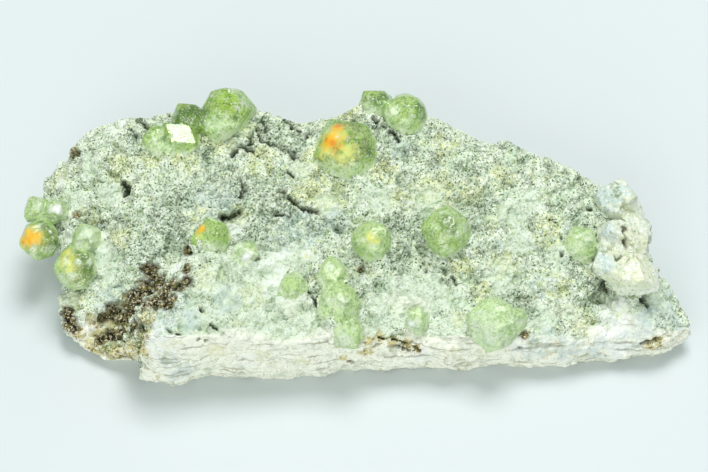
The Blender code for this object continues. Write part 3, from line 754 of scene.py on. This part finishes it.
# Demantoid garnet: green, glassy and strongly refracting, clouded by fine inclusions
def garnetMaterial():
    material, tree = newMaterial("demantoidGarnet")
    colour = layeredColour(tree, "#c8f27a", [
        # colour, mask, share, size, threshold, softness
        ("#86c032", "", 0.8, 1.0, 0.50, 0.12),         # deeper green and milky clouds
        ("#e2f7bc", "", 0.7, 0.55, 0.55, 0.10),
        ("#b9dc44", "lime", 0.75, 0, 0, 0),
        ("#d3eabb", "milk", 0.8, 0, 0, 0),
        ("#9cc476", "milk", 0.8, 0.7, 0.49, 0.12),
        ("#edf9e4", "milk", 0.7, 0.42, 0.57, 0.08),
        ("#a9b456", "olive", 0.75, 0.5, 0.30, 0.2),
        ("#6f8034", "olive", 0.7, 0.35, 0.50, 0.08),
        ("#4f7a18", "deep", 0.9, 0, 0, 0),
        ("#79a842", "", 0.6, 0.26, 0.55, 0.06),        # fine dark and bright inclusions
        ("#f6fce0", "", 0.85, 0.19, 0.58, 0.05),
        ("#4f7a20", "clear", 0.65, 0.22, 0.55, 0.05),
        ("#e8ea72", "yellow", 0.8, 0.5, 0.32, 0.14),
        ("#ffbe00", "orange", 1.0, 0, 0, 0),
        ("#ffcf30", "orange", 0.7, 0.4, 0.55, 0.08),
        ("#ee8e00", "ember", 0.9, 0, 0, 0),
        ("#dbebd3", "haze", 0.6, 0.6, 0.34, 0.2),
        # painted highlights: the white lit faces and the glints
        ("#f3f8f3", "whiteAndHighlight", 1.0, 0, 0, 0),
        ("#f8fdf0", "glints", 0.85, 0.22, 0.42, 0.12),
        ("#dbeaca", "dust", 0.85, 0.4, 0.36, 0.14),
        ("#6f8058", "dust", 0.6, 0.2, 0.59, 0.04),
    ])
    clear = readMask(tree, "clear")
    links = {"Base Color": colour, "Normal": fineBump(tree, *garnetSet["bump"])}
    for socket, key in (("Roughness", "roughness"), ("Transmission Weight", "transmission")):
        milky, glassy = garnetSet[key]
        links[socket] = addNode(tree, "ShaderNodeMapRange", {"To Min": milky, "To Max": glassy},
                                {"Value": clear}).outputs[0]
    shader = addNode(tree, "ShaderNodeBsdfPrincipled",
                     {"IOR": garnetSet["ior"], "Specular IOR Level": 0.35}, links)
    tint, density = garnetSet["absorption"]
    body = addNode(tree, "ShaderNodeVolumeAbsorption", {"Color": hexToLinear(tint), "Density": density})
    addNode(tree, "ShaderNodeOutputMaterial", links={"Surface": shader.outputs[0], "Volume": body.outputs[0]})
    return material


# Crust: pale lumps of overgrown garnet at the right end. Sizes and heights are in mm
crustSet = {
    "voxel": 0.12,
    "smoothing": 4,
    "lumps": (1.1, 0.10),      # size and height
    "grains": (0.55, 0.08),
    "level": 0.8,              # part of a grain that lies below the old surface
    "chips": (2.1, 1.0),       # size and share of flattening
    "crackDepth": 0.4,
    "bump": (0.3, 0.6, 0.06),  # size, strength and height of the finest relief
    # spots and cracks are given as the rock's are
    "brown": [(624, 227, 0.4), (596, 217, 0.3)],
    "cream": [
        (625, 213, 1.3), (635, 240, 1.4), (630, 262, 1.5), (640, 275, 1.4), (622, 280, 1.4), (646, 262, 0.8),
        (630, 205, 0.8), (615, 250, 0.7),
    ],
    "bluish": [
        (603, 195, 1.3), (612, 205, 1.2), (606, 264, 0.9), (606, 228, 0.8), (612, 234, 0.6), (625, 190, 0.7),
    ],
    "green": [
        (614, 186, 0.6), (617, 194, 0.5), (612, 290, 0.6), (597, 240, 0.6), (605, 250, 0.4), (636, 232, 0.3),
    ],
    "cracks": [
        (0.24, (617, 259), (623, 254), (633, 259)), (0.24, (592, 211), (597, 218)),
        (0.12, (605, 212), (606, 219)), (0.1, (618, 196), (621, 210), (620, 222)),
        (0.1, (598, 250), (606, 248), (616, 256)), (0.12, (633, 259), (642, 262)),
        (0.28, (622, 222), (624, 232), (627, 243), (626, 252)),
    ],
}


def makeCrust(trees):
    piece = addPiece("paleCrustLumps", mergedCopy("pale_crust"))
    refine(piece, crustSet["voxel"], crustSet["smoothing"])
    mesh = piece.data
    places, normals = readVerts(mesh)
    low, high = (np.array(corner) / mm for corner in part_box("pale_crust"))

    masks = {key: spotMask(places, trees, crustSet[key]) for key in ("brown", "cream", "bluish", "green")}
    masks["crackShade"] = crackMask(places, trees, crustSet["cracks"])
    lumpSize, lumpHeight = crustSet["lumps"]
    grainSize, grainHeight = crustSet["grains"]
    chipSize, chipShare = crustSet["chips"]
    grains = grainsAt(places, grainSize)
    lift = noiseAt(places, lumpSize, 11.0) * lumpHeight + (grains - crustSet["level"]) * grainHeight
    lift -= masks["crackShade"] * crustSet["crackDepth"]
    lift += chipsAt(places, normals, chipSize) * chipShare
    writeVerts(mesh, np.clip(places + normals * lift[:, None], low, high))
    for key, mask in masks.items():
        storeMask(mesh, key, mask)
    mesh.shade_smooth()
    return piece


# Pale garnet crust: whitish, partly translucent lumps stained cream and brown
def crustMaterial():
    material, tree = newMaterial("paleGarnetCrust")
    colour = layeredColour(tree, "#e3eed6", [
        # colour, mask, share, size, threshold, softness
        ("#fafdf0", "", 0.9, 1.1, 0.49, 0.12),
        ("#c3d5b3", "", 0.7, 0.8, 0.54, 0.08),
        ("#cfe4de", "bluish", 0.85, 0.8, 0.30, 0.2),
        ("#e4e9bd", "cream", 0.7, 0.7, 0.36, 0.2),
        ("#7f9a6a", "green", 0.85, 0.4, 0.40, 0.14),
        ("#84956f", "", 0.5, 0.26, 0.58, 0.06),
        ("#fbfff4", "", 0.8, 0.2, 0.57, 0.05),
        ("#4f4a1e", "brown", 0.95, 0.3, 0.28, 0.15),
        # painted shade in the cracks, which are also sunk into the crust
        ("#45401c", "crackShade", 0.9, 0.4, 0.34, 0.16),
    ])
    shader = addNode(tree, "ShaderNodeBsdfPrincipled",
                     {"Roughness": 0.35, "IOR": 1.6, "Transmission Weight": 0.08},
                     {"Base Color": colour, "Normal": fineBump(tree, *crustSet["bump"])})
    addNode(tree, "ShaderNodeOutputMaterial", links={"Surface": shader.outputs[0]})
    return material


# Stage: a pale table, a soft sky, a broad light from above and behind, and a weaker one from the front
stageSet = {
    "floorSize": 1.2,          # m
    "floorColour": "#d3dcdc",
    "skyColour": "#f2f7f8",
    "skyStrength": 0.55,
    "keyWatts": 1.5,
    "keySize": 0.22,
    "keyPlace": (0.05, 0.17, 0.46),
    "fillWatts": 0.9,
    "fillSize": 0.35,
    "fillPlace": (-0.12, -0.40, 0.22),
}


def makeStage():
    shape = bmesh.new()
    bmesh.ops.create_grid(shape, x_segments=1, y_segments=1, size=stageSet["floorSize"] / 2)
    floor = addPiece("paleFloor", shape)
    material, tree = newMaterial("paleTable")
    shader = addNode(tree, "ShaderNodeBsdfPrincipled",
                     {"Base Color": hexToLinear(stageSet["floorColour"]), "Roughness": 0.55})
    addNode(tree, "ShaderNodeOutputMaterial", links={"Surface": shader.outputs[0]})
    floor.data.materials.append(material)

    world = bpy.data.worlds.new("softSky")
    world.use_nodes = True
    sky = world.node_tree.nodes["Background"]
    sky.inputs["Color"].default_value = hexToLinear(stageSet["skyColour"])
    sky.inputs["Strength"].default_value = stageSet["skyStrength"]
    bpy.context.scene.world = world
    bpy.context.scene.view_settings.view_transform = "Standard"
    for name in ("key", "fill"):
        data = bpy.data.lights.new(name + "Light", "AREA")
        data.energy = stageSet[name + "Watts"]
        data.size = stageSet[name + "Size"]
        light = bpy.data.objects.new(name + "Light", data)
        light.location = stageSet[name + "Place"]
        light.rotation_euler = Vector(light.location).to_track_quat("Z", "Y").to_euler()
        bpy.context.scene.collection.objects.link(light)


# The surfaces of the solids, the rock's first, for finding places on them
def surfaceTrees():
    trees = []
    for name in ["matrix"] + garnetNodes + ["pale_crust"]:
        shape = mergedCopy(name)
        trees.append(BVHTree.FromBMesh(shape))
        shape.free()
    return trees


# Gives a piece its material and puts it in the place of a node
def dress(piece, material, nodeName):
    piece.data.materials.clear()
    piece.data.materials.append(material)
    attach(piece, "root")
    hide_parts(nodeName)


makeCamera()
makeStage()
print("camera and stage ready")
trees = surfaceTrees()
dress(makeRock(trees), rockMaterial(), "matrix")
print("rock ready")
demantoid = garnetMaterial()
for nodeName in garnetNodes:
    dress(makeGarnet(nodeName, trees), demantoid, nodeName)
print("crystals ready")
dress(makeCrust(trees), crustMaterial(), "pale_crust")
print("crust ready")
